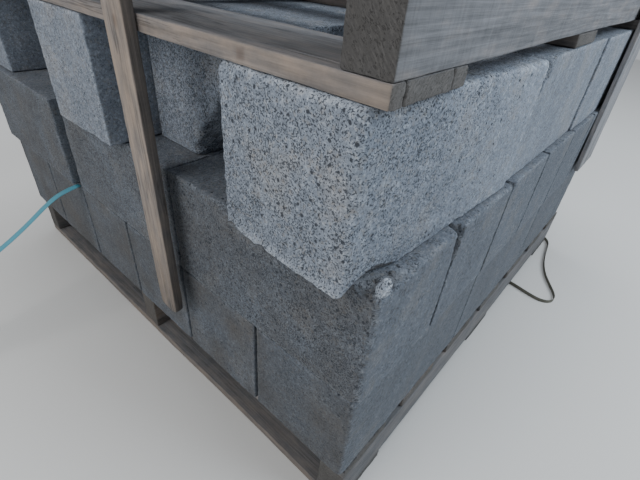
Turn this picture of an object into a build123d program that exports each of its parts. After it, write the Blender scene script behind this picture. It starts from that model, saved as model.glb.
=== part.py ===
from build123d import *
from math import cos, radians, sin, tan
import os

os.makedirs("parts", exist_ok=True)

# Pallet load of solid concrete blocks, in millimetres.
# X runs along the blocks of the lowest course, Y across them and Z up.
# The origin is the centre of the lower pallet's underside.

# Block format
block_length = 390
block_width = 190
block_height = 190
arris = 3

# Joints between blocks: beside their long faces and at their ends
side_joint = 6
end_joint = 2

# Pallets, both of the same make
pallet_side = 1180
board_thickness = 20
bearer_width = 50
bearer_height = 84
deck_board_width = 118
deck_board_count = 7
bottom_board_width = 126
wood_arris = 1.5

# How far the load stands out over the lower pallet's left side, and in from its right side
left_overhang = 11
right_inset = 2

# Second course: it stands proud of the right side, and its last block at the left
# corner was laid looser and further out
second_course_proud = 3
last_block_proud = 8
last_block_gap = 20

# Top course: the front row's insets, then each row's start along X, and the gaps
# from row to row along Y
front_row_inset = 10
front_row_end_inset = 6
top_row_starts = (65, -24, 60, 6)
top_row_gaps = (116, 4, 40, 115)

# Corner block of the top course: out over the left side, turned on its bed, spalled
corner_block_proud = 31
corner_block_inset = 25
corner_block_turn = -2.9
corner_block_gap = 3
spall_depth = 13
spall_height = 16
spall_length = 77

# Hollow break in the block that was pushed in
break_width = 86
break_height = 120
break_length = 230

# Upper pallet: how far it stands out over the load's left side, and in from its right side
upper_proud = 22
upper_inset = 12

# Slats that stand at two sides of the load, with their feet over the lower pallet:
# the left one upright, past the near side of the pushed-in block; the right one past
# the second course's fifth joint, leaning over that course's upper arris
left_slat_width = 48
left_slat_thickness = 16
left_slat_past_block = 42
left_slat_foot = 118
right_slat_width = 160
right_slat_thickness = 12
right_slat_past_joint = 32
right_slat_foot = 213
right_slat_lean = 1.5
slat_clearance = 0.3

# Loose strap, which hangs out of the bed joint over the lowest course in one
# upright plane: distances out from the left side, and heights over the floor
strap_width = 16
strap_thickness = 1
strap_along = 793
strap_route = [
    (-2, 314), (38, 309), (75, 290), (110, 266), (147, 243), (186, 222), (226, 201), (264, 176),
    (300, 148), (332, 116), (363, 82), (398, 51), (440, 27), (488, 12), (537, 4), (584, 1),
]

# Slack loop of dark band that stands on edge on the floor: distances from the
# load's near corner, out under the near bearer and round the pallet's far corner
band_height = 11
band_thickness = 1
band_route = [
    (861, 60), (859, 18), (853, -22), (844, -60), (841, -94), (852, -115), (874, -125), (900, -118), (936, -95),
    (976, -70), (1020, -52), (1066, -40), (1110, -32), (1150, -26), (1184, -19), (1212, 2), (1228, 38),
]

# Places that follow from the sizes above
load_x = -pallet_side / 2 - left_overhang
load_y = -pallet_side / 2 + right_inset
pallet_height = bearer_height + 2 * board_thickness
course_base = [pallet_height + level * block_height for level in range(4)]
upper_top = course_base[3] + pallet_height
row_pitch = block_width + side_joint
block_pitch = block_length + end_joint

# The front row's second block starts clear of the turned corner block's far corner
corner_turn = radians(abs(corner_block_turn))
corner_block_reach = block_length * cos(corner_turn) + block_width * sin(corner_turn) - corner_block_proud
front_row_start = corner_block_reach + corner_block_gap


def write(builder, label):
    """Name a finished piece and write it."""
    builder.part.label = label
    export_step(builder.part, f"parts/{label}.step")


def block_row(label, places, base, along_y=False):
    """Write one row of blocks that lie at the given base height.

    Each place is the distance along X and Y from the load's near corner to the
    block's own near corner.
    """
    size_x = block_width if along_y else block_length
    size_y = block_length if along_y else block_width
    with BuildPart(Plane.XY.offset(base)) as row:
        with Locations([(load_x + x, load_y + y) for x, y in places]):
            Box(size_x, size_y, block_height, align=(Align.MIN, Align.MIN, Align.MIN))
        chamfer(row.edges(), arris)
    write(row, label)


def board(label, x, y, z, size_x, size_y, size_z):
    """Write one sawn board or bearer with its corner at x, y and z."""
    with BuildPart(Plane((x, y, z))) as timber:
        Box(size_x, size_y, size_z, align=(Align.MIN, Align.MIN, Align.MIN))
        chamfer(timber.edges().filter_by(Axis.X if size_x > size_y else Axis.Y), wood_arris)
    write(timber, label)


def pallet(name, x, y, z, last_board_reach=0):
    """Write a pallet of three bearers along X with boards along Y above and below.

    The last bottom board reaches out past the near bearer by last_board_reach.
    """
    span = pallet_side - bearer_width
    for number, place in enumerate(("near", "middle", "far")):
        board(f"{name}_bearer_{place}", x, y + number * span / 2, z + board_thickness,
              pallet_side, bearer_width, bearer_height)
    span = pallet_side - bottom_board_width
    for number in range(3):
        reach = last_board_reach if number == 2 else 0
        board(f"{name}_bottom_board_{number + 1}", x + number * span / 2, y - reach, z,
              bottom_board_width, pallet_side + reach, board_thickness)
    span = pallet_side - deck_board_width
    for number in range(deck_board_count):
        board(f"{name}_deck_board_{number + 1}", x + number * span / (deck_board_count - 1), y,
              z + board_thickness + bearer_height, deck_board_width, pallet_side, board_thickness)


def split_off(sections, hollow, ruled=False):
    """Make the piece that is gone from a block's lower near edge, in the block's own frame.

    Each section is its distance from the end face, the break's width on the bed face
    and its height on the side face. The break runs between these two as an arc: over
    a half, the larger hollow is, the deeper the arc bends into the block.
    """
    with BuildPart() as gone:
        for distance, width, height in sections:
            with BuildSketch(Plane.YZ.offset(distance)):
                with BuildLine():
                    Polyline((0, height), (-arris, height), (-arris, -arris), (width, -arris), (width, 0))
                    ThreePointArc((width, 0), (width * hollow, height * hollow), (0, height))
                make_face()
        loft(ruled=ruled)
    return gone.part


def bend_radii(points):
    """Radius of the arc at each inner point, from the shorter run beside it and the turn there."""
    radii = []
    for before, here, after in zip(points, points[1:], points[2:]):
        run_in = Vector(*here) - Vector(*before)
        run_out = Vector(*after) - Vector(*here)
        half_turn = radians(run_in.get_angle(run_out) / 2)
        radii.append(0.45 * min(run_in.length, run_out.length) / tan(half_turn))
    return radii


# Lower pallet
pallet("lower_pallet", -pallet_side / 2, -pallet_side / 2, 0)

# Lowest course: six rows along X, three blocks in each
for number in range(6):
    places = [(step * block_pitch, number * row_pitch) for step in range(3)]
    block_row(f"course_1_row_{number + 1}", places, course_base[0])

# Second course: six rows along Y, so that it bridges the joints below
for number in range(6):
    places = [(number * row_pitch, step * block_pitch - second_course_proud) for step in range(2)]
    if number == 0:
        places.append((-last_block_proud, 2 * block_pitch + last_block_gap))
    else:
        places.append((number * row_pitch, 2 * block_pitch))
    block_row(f"course_2_row_{number + 1}", places, course_base[1], along_y=True)

# Top course: five rows along X again, set unevenly by hand. The corner block and
# the pushed-in block lie at the left ends of the first two rows.
block_row("course_3_row_1",
          [(front_row_start, front_row_inset), (front_row_start + block_pitch, front_row_end_inset)],
          course_base[2])
row_y = front_row_inset
for number, (start, gap) in enumerate(zip(top_row_starts, top_row_gaps)):
    row_y += block_width + gap
    if number == 0:
        pushed_block_x, pushed_block_y = load_x + start, load_y + row_y
    steps = range(1, 3) if number == 0 else range(3)
    block_row(f"course_3_row_{number + 2}", [(start + step * block_pitch, row_y) for step in steps],
              course_base[2])

# Corner block, turned on its bed. A spall is gone from its long lower edge: shallow at
# the near corner, deepest past its middle and running out along the long face.
spall = split_off([(distance, spall_depth * share, spall_height * share)
                   for distance, share in ((-arris, 0.5), (spall_length * 0.3, 0.85),
                                           (spall_length * 0.7, 1), (spall_length, 0.2))],
                  hollow=0.6, ruled=True)
corner_block_seat = Plane((load_x - corner_block_proud, load_y + corner_block_inset, course_base[2]))
with BuildPart(corner_block_seat.rotated((0, 0, corner_block_turn))) as corner_block:
    Box(block_length, block_width, block_height, align=(Align.MIN, Align.MIN, Align.MIN))
    chamfer(corner_block.edges(), arris)
    add(spall, mode=Mode.SUBTRACT)
write(corner_block, "corner_block")

# Block behind it, pushed inwards, with a large piece split off its lower near
# edge: a hollow break across the end face that narrows inwards.
hollow_break = split_off([(distance, break_width * share, break_height * share)
                          for distance, share in ((-arris, 1), (break_length, 0.3))], hollow=0.57)
with BuildPart(Plane((pushed_block_x, pushed_block_y, course_base[2]))) as pushed_block:
    Box(block_length, block_width, block_height, align=(Align.MIN, Align.MIN, Align.MIN))
    chamfer(pushed_block.edges(), arris)
    add(hollow_break, mode=Mode.SUBTRACT)
write(pushed_block, "pushed_in_block")

# Upper pallet, which rests on the top course. The end of its last bottom board
# stands out to the right slat, which leans in by this much at that height.
lean_height = course_base[2] - arris
lean_in = (course_base[3] + board_thickness - lean_height) * tan(radians(right_slat_lean))
pallet("upper_pallet", load_x - upper_proud, load_y + upper_inset, course_base[3],
       last_board_reach=upper_inset + second_course_proud - lean_in)

# Left slat, upright against the left side of the upper pallet
left_foot = pallet_height + left_slat_foot
with BuildPart(Plane((load_x - upper_proud, pushed_block_y + left_slat_past_block, left_foot))) as left_slat:
    Box(left_slat_thickness, left_slat_width, upper_top - left_foot, align=(Align.MAX, Align.MIN, Align.MIN))
    chamfer(left_slat.edges().filter_by(Axis.Z), wood_arris)
write(left_slat, "left_slat")

# Right slat, wider and thinner, near the load's far corner
right_foot = pallet_height + right_slat_foot
right_slat_x = load_x + 5 * row_pitch + right_slat_past_joint
right_slat_y = load_y - second_course_proud - slat_clearance
leaning = Plane((right_slat_x, right_slat_y, lean_height)).rotated((-right_slat_lean, 0, 0))
with BuildPart(leaning) as right_slat:
    with Locations((0, 0, right_foot - lean_height)):
        Box(right_slat_width, right_slat_thickness, upper_top - right_foot, align=(Align.MIN, Align.MAX, Align.MIN))
    chamfer(right_slat.edges().filter_by(Axis(leaning.origin, leaning.z_dir)), wood_arris)
write(right_slat, "right_slat")

# Loose strap
strap_points = [(load_x - out, height) for out, height in strap_route]
strap_radii = bend_radii(strap_points)
print("strap radii", [round(radius) for radius in strap_radii])
with BuildPart() as strap:
    with BuildSketch(Plane.XZ.offset(-(load_y + strap_along))):
        with BuildLine() as strap_line:
            FilletPolyline(*strap_points, radius=strap_radii)
        trace(line_width=strap_thickness)
    extrude(amount=strap_width / 2, both=True)
strap_section = strap_width * strap_thickness
print("strap volume", strap.part.volume, "section times length", strap_section * strap_line.wires()[0].length)
write(strap, "loose_strap")

# Slack band loop
band_points = [(load_x + x, load_y + y) for x, y in band_route]
band_radii = bend_radii(band_points)
print("band radii", [round(radius) for radius in band_radii])
with BuildPart() as band:
    with BuildSketch():
        with BuildLine() as band_line:
            FilletPolyline(*band_points, radius=band_radii)
        trace(line_width=band_thickness)
    extrude(amount=band_height)
band_section = band_height * band_thickness
print("band volume", band.part.volume, "section times length", band_section * band_line.wires()[0].length)
write(band, "floor_band_loop")
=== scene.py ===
"""Pallet load of solid concrete blocks, dressed over its CAD frame.

Every piece is a surface worked out with numpy in metres, in the CAD frame: a
closed lattice skin of a block or a board, a ribbon carried along a route, or a
lump. The finishes are node materials that read each piece's own attributes.
"""
import logging
import math
from dataclasses import dataclass, field
from enum import Enum
from itertools import product
from typing import Any, Callable

import bpy
import numpy as np
from mathutils import Matrix, Vector


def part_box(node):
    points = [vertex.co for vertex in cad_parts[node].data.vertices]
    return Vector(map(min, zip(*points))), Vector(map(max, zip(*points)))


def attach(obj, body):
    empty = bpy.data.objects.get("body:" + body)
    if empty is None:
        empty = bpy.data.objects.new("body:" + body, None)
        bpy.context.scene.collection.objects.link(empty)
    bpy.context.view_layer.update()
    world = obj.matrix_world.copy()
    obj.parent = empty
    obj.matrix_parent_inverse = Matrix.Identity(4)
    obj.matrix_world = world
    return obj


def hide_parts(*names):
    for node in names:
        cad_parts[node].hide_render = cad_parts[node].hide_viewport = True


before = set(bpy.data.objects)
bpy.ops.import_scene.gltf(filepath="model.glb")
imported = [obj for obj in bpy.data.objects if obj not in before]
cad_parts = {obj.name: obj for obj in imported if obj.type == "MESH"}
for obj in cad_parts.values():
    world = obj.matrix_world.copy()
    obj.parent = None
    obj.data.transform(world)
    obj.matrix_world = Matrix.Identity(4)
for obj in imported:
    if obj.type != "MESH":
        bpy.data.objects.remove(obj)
log = logging.getLogger("block_pallet")
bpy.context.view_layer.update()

Array = np.ndarray
Gone = Callable[[Array], Array]
Place = tuple[float, float, float]
Colour = tuple[float, float, float]

BODY = "root"
NEAR_CORNER = np.array([-0.601, -0.588, 0.0])

# What the lattice hash multiplies and shifts by, and the bits that it keeps
HASH_AXES = (374761393, 668265263, 2246822519)
HASH_SEED = 3266489917
HASH_STIRS = ((13, 1274126177), (15, 2246822519))
HASH_LAST_SHIFT = 16
HASH_BITS = 32

# First seeds of the pieces and of the fields that they share
CRUMB_SEED = 31
CORNER_BLOCK_SEED = 90
PUSHED_BLOCK_SEED = 91
BOARD_SEED = 200
SPALL_SEED = 401
BREAK_SEED = 501
CHIP_SEED = 611
SPOT_SEED = 71
TONE_DRAW = 77
PITH_DRAW = 31
LOOK_DRAW = 55
NAIL_DRAW = 93


class Slot(Enum):
    """Material slots of the record."""

    CONCRETE = "concrete"
    WOOD = "wood"
    STRAP = "strap"
    BAND = "band"


# Noise fields over points

def lattice_hash(cells: Array, seed: int) -> Array:
    """Give each lattice cell a fixed number from 0 to 1.

    The three whole coordinates and the seed are multiplied by large odd
    numbers, added, and their bits stirred by shifts and exclusive ors.

    Args:
        cells: Whole coordinates, (..., 3).
        seed: Which of the fields it is.

    Returns:
        One number for each cell, (...).
    """
    kept = 2 ** HASH_BITS - 1
    mixed = sum(cells[..., axis] * factor for axis, factor in enumerate(HASH_AXES)) + seed * HASH_SEED
    mixed = mixed & kept
    for shift, factor in HASH_STIRS:
        mixed = ((mixed ^ (mixed >> shift)) * factor) & kept
    return (mixed ^ (mixed >> HASH_LAST_SHIFT)) / 2.0 ** HASH_BITS


def soft_noise(points: Array, cell: float, seed: int) -> Array:
    """Smooth noise: lattice numbers blended by the smoothstep of the place in the cell.

    Args:
        points: Places in metres, (n, 3).
        cell: Size of a lattice cell in metres.
        seed: Which of the fields it is.

    Returns:
        Values from -1 to 1, (n,).
    """
    scaled = points / cell
    base = np.floor(scaled).astype(np.int64)
    part = scaled - base
    part = part * part * (3 - 2 * part)
    total = np.zeros(len(points))
    for corner in product((0, 1), repeat=3):
        step = np.array(corner)
        share = np.prod(np.where(step == 1, part, 1 - part), axis=1)
        total += share * lattice_hash(base + step, seed)
    return total * 2 - 1


def rough_noise(points: Array, cell: float, seed: int, layers: int = 3) -> Array:
    """Layers of soft noise, each half as large and half as strong as the last.

    Args:
        points: Places in metres, (n, 3).
        cell: Cell of the first layer in metres.
        seed: Which of the fields it is.
        layers: How many layers.

    Returns:
        Values from about -1 to 1, (n,).
    """
    total = np.zeros(len(points))
    for layer in range(layers):
        total += soft_noise(points, cell / 2 ** layer, seed + layer) / 2 ** layer
    return total / (2 - 2.0 ** (1 - layers))


# Lattice skins

HALVINGS = 20


def spaced(size: float, cell: float, rim: tuple[float, ...]) -> Array:
    """Places along one side: the rim's own near both ends, and about a cell apart between.

    Args:
        size: Length of the side in metres.
        cell: Spacing wanted in the middle, in metres.
        rim: Distances from each end, rising from 0.

    Returns:
        Rising places from 0 to size.
    """
    low = np.array(rim)
    steps = max(1, round((size - 2 * rim[-1]) / cell))
    middle = np.linspace(rim[-1], size - rim[-1], steps + 1)[1:-1]
    return np.concatenate([low, middle, size - low[::-1]])


def box_skin(xs: Array, ys: Array, zs: Array) -> tuple[Array, Array]:
    """Closed skin of a box lattice, with one vertex for each lattice point on the box.

    Args:
        xs: Lattice places along X.
        ys: Lattice places along Y.
        zs: Lattice places along Z.

    Returns:
        Points (n, 3) and outward quads (m, 4).
    """
    count = (len(xs), len(ys), len(zs))
    on_skin = np.ones(count, dtype=bool)
    on_skin[1:-1, 1:-1, 1:-1] = False
    number = np.full(count, -1)
    number[on_skin] = np.arange(on_skin.sum())
    points = np.stack(np.meshgrid(xs, ys, zs, indexing="ij"), -1)[on_skin]
    quads = []
    for axis, end in product(range(3), (0, -1)):
        layer = np.take(number, 0 if end == 0 else count[axis] - 1, axis=axis)
        quad = np.stack([layer[:-1, :-1], layer[1:, :-1], layer[1:, 1:], layer[:-1, 1:]], -1).reshape(-1, 4)
        quads.append(quad[:, ::-1] if (end == 0) != (axis == 1) else quad)
    return points, np.concatenate(quads)


def ball_skin(lines: int) -> tuple[Array, Array]:
    """Closed skin of a ball of radius 1: a cube's lattice, of so many lines a side, drawn out to it."""
    side = np.linspace(-1, 1, lines)
    points, faces = box_skin(side, side, side)
    return points / np.linalg.norm(points, axis=1, keepdims=True), faces


def round_arrises(points: Array, size: Array, radius: Array) -> tuple[Array, Array]:
    """Round a box's arrises by a radius of each point's own.

    A point is moved to the radius's distance from the nearest place of the box
    that is smaller by the radius on every side.

    Args:
        points: Places on the box, from 0 to size, (n, 3).
        size: The box, (3,).
        radius: Rounding at each point, (n,).

    Returns:
        The moved points and their outward directions, both (n, 3).
    """
    inner = np.clip(points, radius[:, None], size - radius[:, None])
    out = points - inner
    out = out / np.maximum(np.linalg.norm(out, axis=1, keepdims=True), 1e-9)
    return inner + out * radius[:, None], out


def arris_distance(points: Array, size: Array) -> Array:
    """Distance of each point on a box from its nearest arris.

    It is the second smallest of the distances to the three nearer faces.

    Args:
        points: Places on the box, (n, 3).
        size: The box, (3,).

    Returns:
        Distances in metres, (n,).
    """
    near = np.minimum(points, size - points)
    return np.sort(near, axis=1)[:, 1]


def draw_back(points: Array, middle: Array, gone: Gone) -> tuple[Array, Array]:
    """Draw points that lie in what is gone back towards the middle, to the break's surface.

    Each stays on its straight line to the middle, and halvings of that line
    find where the solid begins.

    Args:
        points: Places on the whole block, (n, 3).
        middle: A place inside the solid that sees all of the break, (3,).
        gone: Positive where the block is gone.

    Returns:
        The moved points, and which of them moved.
    """
    moved = gone(points) > 0
    low = np.zeros(int(moved.sum()))
    high = np.ones(int(moved.sum()))
    ray = points[moved] - middle
    for _ in range(HALVINGS):
        half = (low + high) / 2
        empty = gone(middle + ray * half[:, None]) > 0
        high = np.where(empty, half, high)
        low = np.where(empty, low, half)
    result = points.copy()
    result[moved] = middle + ray * low[:, None]
    return result, moved


@dataclass
class Skin:
    """A surface in the making: points, faces and its own attributes.

    Attributes:
        points: Places in metres, (n, 3).
        faces: Quads, (m, 4).
        pattern: Where each point lies in its finish's pattern, (n, 3).
        finish: Three shares from 0 to 1 that its finish reads, (n, 3).
        cast: Three more, for what differs from place to place, (n, 3).
    """

    points: Array
    faces: Array
    pattern: Array
    finish: Array
    cast: Array

    def piece(self, name: str, material: bpy.types.Material) -> bpy.types.Object:
        """Make the skin a smooth object that rides on the load.

        Args:
            name: Name of the object.
            material: Its finish.

        Returns:
            The object, at the origin.
        """
        mesh = bpy.data.meshes.new(name)
        mesh.vertices.add(len(self.points))
        mesh.vertices.foreach_set("co", self.points.astype(np.float32).ravel())
        mesh.loops.add(self.faces.size)
        mesh.loops.foreach_set("vertex_index", self.faces.astype(np.int32).ravel())
        mesh.polygons.add(len(self.faces))
        mesh.polygons.foreach_set("loop_start", np.arange(0, self.faces.size, 4, dtype=np.int32))
        for label, values in (("pattern", self.pattern), ("finish", self.finish), ("cast", self.cast)):
            attribute = mesh.attributes.new(label, "FLOAT_VECTOR", "POINT")
            attribute.data.foreach_set("vector", values.astype(np.float32).ravel())
        mesh.update(calc_edges=True)
        mesh.validate()
        mesh.shade_smooth()
        mesh.materials.append(material)
        made = bpy.data.objects.new(name, mesh)
        bpy.context.collection.objects.link(made)
        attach(made, BODY)
        return made


def joined(skins: list[Skin]) -> Skin:
    """Return several skins as one, each with its faces counted on from the last."""
    starts = np.cumsum([0] + [len(skin.points) for skin in skins[:-1]])
    return Skin(np.concatenate([skin.points for skin in skins]),
                np.concatenate([skin.faces + start for skin, start in zip(skins, starts)]),
                np.concatenate([skin.pattern for skin in skins]),
                np.concatenate([skin.finish for skin in skins]),
                np.concatenate([skin.cast for skin in skins]))


def report(made: bpy.types.Object) -> None:
    """Log one finished piece with its size in faces."""
    log.info("%s: %d faces", made.name, len(made.data.polygons))


# Shader graphs

class Value:
    """A number that changes over a surface: the output socket that gives it."""

    def __init__(self, graph: "Graph", socket: bpy.types.NodeSocket) -> None:
        """Wrap a socket of a graph."""
        self.graph = graph
        self.socket = socket

    def __add__(self, other: "Number") -> "Value":
        """Return the sum."""
        return self.graph.math("ADD", self, other)

    def __sub__(self, other: "Number") -> "Value":
        """Return the difference."""
        return self.graph.math("SUBTRACT", self, other)

    def __rsub__(self, other: "Number") -> "Value":
        """Return the difference from a plain number."""
        return self.graph.math("SUBTRACT", other, self)

    def __mul__(self, other: "Number") -> "Value":
        """Return the product."""
        return self.graph.math("MULTIPLY", self, other)

    def __pow__(self, other: "Number") -> "Value":
        """Return the power."""
        return self.graph.math("POWER", self, other)

    __radd__ = __add__
    __rmul__ = __mul__

    def sine(self) -> "Value":
        """Return the sine, of radians."""
        return self.graph.math("SINE", self, 0.0)

    def root(self) -> "Value":
        """Return the square root."""
        return self.graph.math("SQRT", self, 0.0)

    def at_most(self, other: "Number") -> "Value":
        """Return the smaller of this and another."""
        return self.graph.math("MINIMUM", self, other)

    def at_least(self, other: "Number") -> "Value":
        """Return the larger of this and another."""
        return self.graph.math("MAXIMUM", self, other)

    def step(self, start: float, end: float) -> "Value":
        """Rise smoothly from 0 at start to 1 at end, which may be the smaller.

        Args:
            start: Value that gives 0.
            end: Value that gives 1.

        Returns:
            The smoothed share.
        """
        low, high = min(start, end), max(start, end)
        node = self.graph.node("ShaderNodeMapRange", {"interpolation_type": "SMOOTHSTEP"},
                               {"Value": self, "From Min": low, "From Max": high,
                                "To Min": float(start > end), "To Max": float(start < end)})
        return Value(self.graph, node.outputs["Result"])


Number = Value | float
Link = Any


class Graph:
    """Node graph of one material, with its shader."""

    def __init__(self, name: str) -> None:
        """Start a material with nothing but a shader and an output."""
        self.material = bpy.data.materials.new(name)
        self.material.use_nodes = True
        self.tree = self.material.node_tree
        self.tree.nodes.clear()
        output = self.tree.nodes.new("ShaderNodeOutputMaterial")
        self.shader = self.tree.nodes.new("ShaderNodeBsdfPrincipled")
        self.tree.links.new(self.shader.outputs[0], output.inputs["Surface"])

    def node(self, kind: str, settings: dict[str, Any], inputs: dict[str | int, Link]) -> bpy.types.Node:
        """Add a node: its settings first, then its sockets.

        Args:
            kind: Blender's name of the node type.
            settings: Properties of the node, by name.
            inputs: What each input socket gets: a value, a socket or a plain value.

        Returns:
            The new node.
        """
        made = self.tree.nodes.new(kind)
        for label, setting in settings.items():
            setattr(made, label, setting)
        for label, link in inputs.items():
            self.feed(made, label, link)
        return made

    def feed(self, node: bpy.types.Node, label: str | int, link: Link) -> None:
        """Give an input socket of a node a value, a socket or a plain value."""
        source = link.socket if isinstance(link, Value) else link
        if isinstance(source, bpy.types.NodeSocket):
            self.tree.links.new(source, node.inputs[label])
        else:
            node.inputs[label].default_value = source

    def math(self, operation: str, first: Number, second: Number) -> Value:
        """Return one Math operation on two numbers."""
        node = self.node("ShaderNodeMath", {"operation": operation}, {0: first, 1: second})
        return Value(self, node.outputs[0])

    def attribute(self, label: str) -> bpy.types.NodeSocket:
        """Return one of the piece's own attributes as a vector."""
        return self.node("ShaderNodeAttribute", {"attribute_name": label}, {}).outputs["Vector"]

    def parts(self, vector: Link) -> tuple[Value, Value, Value]:
        """Return a vector's three parts."""
        node = self.node("ShaderNodeSeparateXYZ", {}, {0: vector})
        first, second, third = (Value(self, output) for output in node.outputs)
        return first, second, third

    def combined(self, first: Number, second: Number, third: Number) -> bpy.types.NodeSocket:
        """Return a vector made of three numbers."""
        return self.node("ShaderNodeCombineXYZ", {}, {0: first, 1: second, 2: third}).outputs[0]

    def stretched(self, vector: Link, by: Place) -> bpy.types.NodeSocket:
        """Return a vector multiplied part by part."""
        return self.node("ShaderNodeVectorMath", {"operation": "MULTIPLY"}, {0: vector, 1: by}).outputs[0]

    def bent(self, vector: Link, scale: float, amount: float) -> bpy.types.NodeSocket:
        """Return a vector pushed about by noise.

        Args:
            vector: Where the pattern is read.
            scale: Waves of the noise to a metre.
            amount: Farthest push in metres.

        Returns:
            The pushed vector.
        """
        noise = self.node("ShaderNodeTexNoise", {}, {"Vector": vector, "Scale": scale, "Detail": 1.0})
        centred = self.node("ShaderNodeVectorMath", {"operation": "SUBTRACT"},
                            {0: noise.outputs["Color"], 1: (0.5, 0.5, 0.5)})
        push = self.node("ShaderNodeVectorMath", {"operation": "SCALE"},
                         {0: centred.outputs[0], "Scale": 2 * amount})
        added = self.node("ShaderNodeVectorMath", {"operation": "ADD"}, {0: vector, 1: push.outputs[0]})
        return added.outputs[0]

    def noise(self, vector: Link, scale: float, detail: float = 2.0, roughness: float = 0.5) -> Value:
        """Return noise from 0 to 1 with the given number of waves to a metre."""
        node = self.node("ShaderNodeTexNoise", {},
                         {"Vector": vector, "Scale": scale, "Detail": detail, "Roughness": roughness})
        return Value(self, node.outputs["Fac"])

    def drawn_out(self, vector: Link, along: float, across: float, detail: float = 3.0,
                  roughness: float = 0.6) -> Value:
        """Return noise with its own numbers of waves to a metre along the first axis and across it."""
        return self.noise(self.stretched(vector, (along, across, across)), 1.0, detail, roughness)

    def layered(self, *layers: "tuple[Value, Number]") -> Value:
        """Return 0.5 and what each layer's distance from 0.5, times its weight, adds to that."""
        total = 0.5
        for layer, weight in layers:
            total = total + (layer - 0.5) * weight
        return total

    def cells(self, vector: Link, scale: float) -> tuple[Value, Value, Value]:
        """Scatter cells with the given number to a metre.

        Args:
            vector: Where the pattern is read.
            scale: Cells to a metre.

        Returns:
            The distance from the nearest cell's middle, in cells, and two
            numbers that are the same all over a cell.
        """
        node = self.node("ShaderNodeTexVoronoi", {"feature": "F1"}, {"Vector": vector, "Scale": scale})
        colour = self.node("ShaderNodeSeparateColor", {}, {0: node.outputs["Color"]})
        return (Value(self, node.outputs["Distance"]), Value(self, colour.outputs[0]),
                Value(self, colour.outputs[1]))

    def mix(self, share: Number, first: Link, second: Link) -> bpy.types.NodeSocket:
        """Blend two colours.

        Args:
            share: Share of the second, from 0 to 1.
            first: A colour or a socket of one.
            second: A colour or a socket of one.

        Returns:
            The blended colour.
        """
        full = [colour + (1.0,) if isinstance(colour, tuple) else colour for colour in (first, second)]
        node = self.node("ShaderNodeMix", {"data_type": "RGBA"}, {0: share, 6: full[0], 7: full[1]})
        return node.outputs[2]

    def shaded(self, colour: Link, by: Value) -> bpy.types.NodeSocket:
        """Return a colour multiplied by a number."""
        return self.node("ShaderNodeVectorMath", {"operation": "MULTIPLY"},
                         {0: colour, 1: self.combined(by, by, by)}).outputs[0]

    def finish(self, colour: Link, roughness: Number, height: Value, depth: float) -> bpy.types.Material:
        """Feed the shader and return the material.

        Args:
            colour: Base colour.
            roughness: Roughness, from 0 to 1.
            height: Relief, where 1 stands out by the depth.
            depth: Depth of the relief in metres.

        Returns:
            The finished material.
        """
        bump = self.node("ShaderNodeBump", {}, {"Height": height, "Distance": depth, "Strength": 1.0})
        for label, link in (("Normal", bump.outputs[0]), ("Base Color", colour), ("Roughness", roughness)):
            self.feed(self.shader, label, link)
        return self.material


# Finishes

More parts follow.
